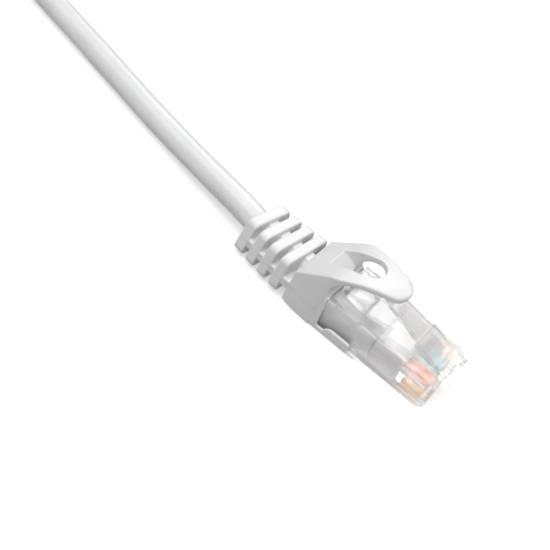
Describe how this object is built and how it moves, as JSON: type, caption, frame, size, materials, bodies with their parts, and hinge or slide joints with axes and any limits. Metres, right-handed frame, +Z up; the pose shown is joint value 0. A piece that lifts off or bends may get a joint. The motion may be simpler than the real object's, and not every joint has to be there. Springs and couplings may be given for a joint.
{
  "type": "ethernet patch cable",
  "caption": "Moulded network patch cable: clear modular plugs in light grey snagless boots with sprung latch guards and ribbed strain reliefs, its slack folded into a tied hank.",
  "frame": {"origin": "on the surface that the cable lies on, under the middle of the line where the near plug enters its boot", "axes": "+X out of the near plug's nose along its axis, +Z up with the latch on top, +Y to the plug's left"},
  "size_m": [0.1974, 0.0552, 0.0255],
  "materials": {
    "clear_plastic": "clear, glossy",
    "gold_plating": "polished gold plating",
    "inner_plastic": "matt, translucent grey",
    "jacket": "satin vinyl",
    "boot_vinyl": "satin moulded vinyl",
    "white_orange": "satin",
    "orange": "satin",
    "white_green": "satin",
    "blue": "satin",
    "white_blue": "satin",
    "green": "satin",
    "white_brown": "satin",
    "brown": "satin",
    "far_wires": "satin, one colour per conductor in the visual model",
    "copper": "bare copper",
    "strap": "woven hook and loop"
  },
  "bodies": {
    "cable_and_plugs": {"near_housing": "clear_plastic", "near_contacts": "gold_plating", "near_wire_guide": "inner_plastic", "near_inner_mould": "inner_plastic", "near_cable_clamp": "clear_plastic", "near_jacket_end": "jacket", "near_white_orange_wire": "white_orange", "near_orange_wire": "orange", "near_white_green_wire": "white_green", "near_blue_wire": "blue", "near_white_blue_wire": "white_blue", "near_green_wire": "green", "near_white_brown_wire": "white_brown", "near_brown_wire": "brown", "near_wire_cores": "copper", "near_boot": "boot_vinyl", "cable_run": "jacket", "cable_hank": "jacket", "cable_lead_out": "jacket", "tie_strap": "strap", "far_housing": "clear_plastic", "far_contacts": "gold_plating", "far_wire_guide": "inner_plastic", "far_inner_mould": "inner_plastic", "far_cable_clamp": "clear_plastic", "far_jacket_end": "jacket", "far_wires": "far_wires", "far_wire_cores": "copper", "far_boot": "boot_vinyl"},
    "near_latch_arm": {"near_latch": "clear_plastic"},
    "near_guard_arm": {"near_latch_guard": "boot_vinyl"},
    "far_latch_arm": {"far_latch": "clear_plastic"},
    "far_guard_arm": {"far_latch_guard": "boot_vinyl"}
  },
  "joints": [
    {"name": "near_guard_flex", "type": "hinge", "parent": "cable_and_plugs", "child": "near_guard_arm", "pos_m": [-0.0011, 0, 0.0112], "axis": [0, 1, 0], "range_deg": [0, 16], "stiffness_Nm_per_rad": 0.0002, "springref_deg": -8.59},
    {"name": "near_latch_flex", "type": "hinge", "parent": "cable_and_plugs", "child": "near_latch_arm", "pos_m": [0.0196, 0, 0.00735], "axis": [0, -1, 0], "range_deg": [0, 10.4], "stiffness_Nm_per_rad": 0.00001, "springref_deg": -28.65},
    {"name": "far_guard_flex", "type": "hinge", "parent": "cable_and_plugs", "child": "far_guard_arm", "pos_m": [-0.12445, -0.02835, 0.02255], "axis": [0, 1, 0], "range_deg": [0, 16], "stiffness_Nm_per_rad": 0.0002, "springref_deg": -8.59},
    {"name": "far_latch_flex", "type": "hinge", "parent": "cable_and_plugs", "child": "far_latch_arm", "pos_m": [-0.10375, -0.02835, 0.0187], "axis": [0, -1, 0], "range_deg": [0, 10.4], "stiffness_Nm_per_rad": 0.00001, "springref_deg": -28.65}
  ],
  "couplings": [
    {"joint": "near_latch_flex", "follows": "near_guard_flex", "ratio": 0.65},
    {"joint": "far_latch_flex", "follows": "far_guard_flex", "ratio": 0.65}
  ]
}
